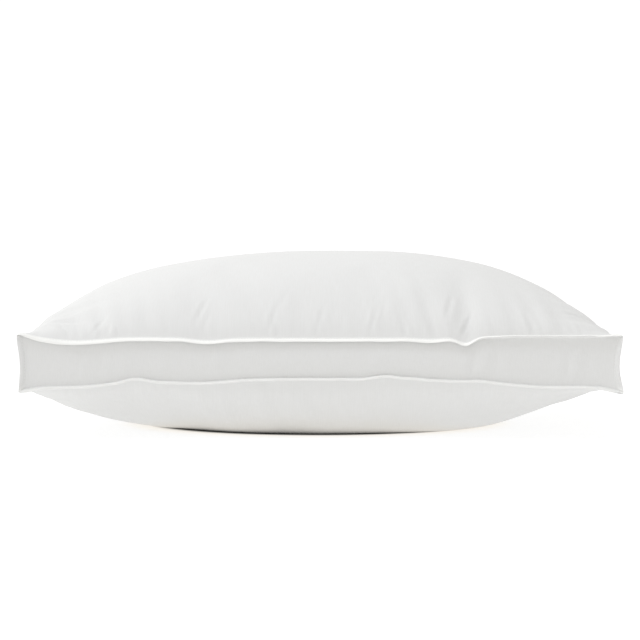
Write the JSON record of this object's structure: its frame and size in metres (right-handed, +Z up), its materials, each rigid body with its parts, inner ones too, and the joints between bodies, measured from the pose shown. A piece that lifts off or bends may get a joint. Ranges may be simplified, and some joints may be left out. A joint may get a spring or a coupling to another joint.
{
  "type": "bed pillow",
  "caption": "Gusseted bed pillow: white cotton shell with a flat side band, pinched flange seams along every edge and a soft fibre filling.",
  "frame": {"origin": "middle of the pillow's outline, on the surface that it lies on", "axes": "+X along the pillow's length, +Y from its front long side to the back long side with the care label, +Z up through its thickness"},
  "size_m": [0.64, 0.488, 0.201],
  "materials": {
    "cotton_shell": "plain white cotton percale, soft and matt with a slight sheen",
    "polyester_fibre": "loose white fibre",
    "sewing_thread": "white spun polyester",
    "satin_label": "blank white satin ribbon"
  },
  "bodies": {
    "root": {"top_panel": "cotton_shell", "bottom_panel": "cotton_shell", "front_gusset": "cotton_shell", "right_gusset": "cotton_shell", "back_gusset": "cotton_shell", "left_gusset": "cotton_shell", "fibre_filling": "polyester_fibre", "top_needle_thread": "sewing_thread", "top_bobbin_thread": "sewing_thread", "bottom_needle_thread": "sewing_thread", "bottom_bobbin_thread": "sewing_thread", "front_left_corner_needle_thread": "sewing_thread", "front_left_corner_bobbin_thread": "sewing_thread", "front_right_corner_needle_thread": "sewing_thread", "front_right_corner_bobbin_thread": "sewing_thread", "back_left_corner_needle_thread": "sewing_thread", "back_left_corner_bobbin_thread": "sewing_thread", "back_right_corner_needle_thread": "sewing_thread", "back_right_corner_bobbin_thread": "sewing_thread", "closing_thread": "sewing_thread", "care_label": "satin_label"}
  },
  "joints": []
}
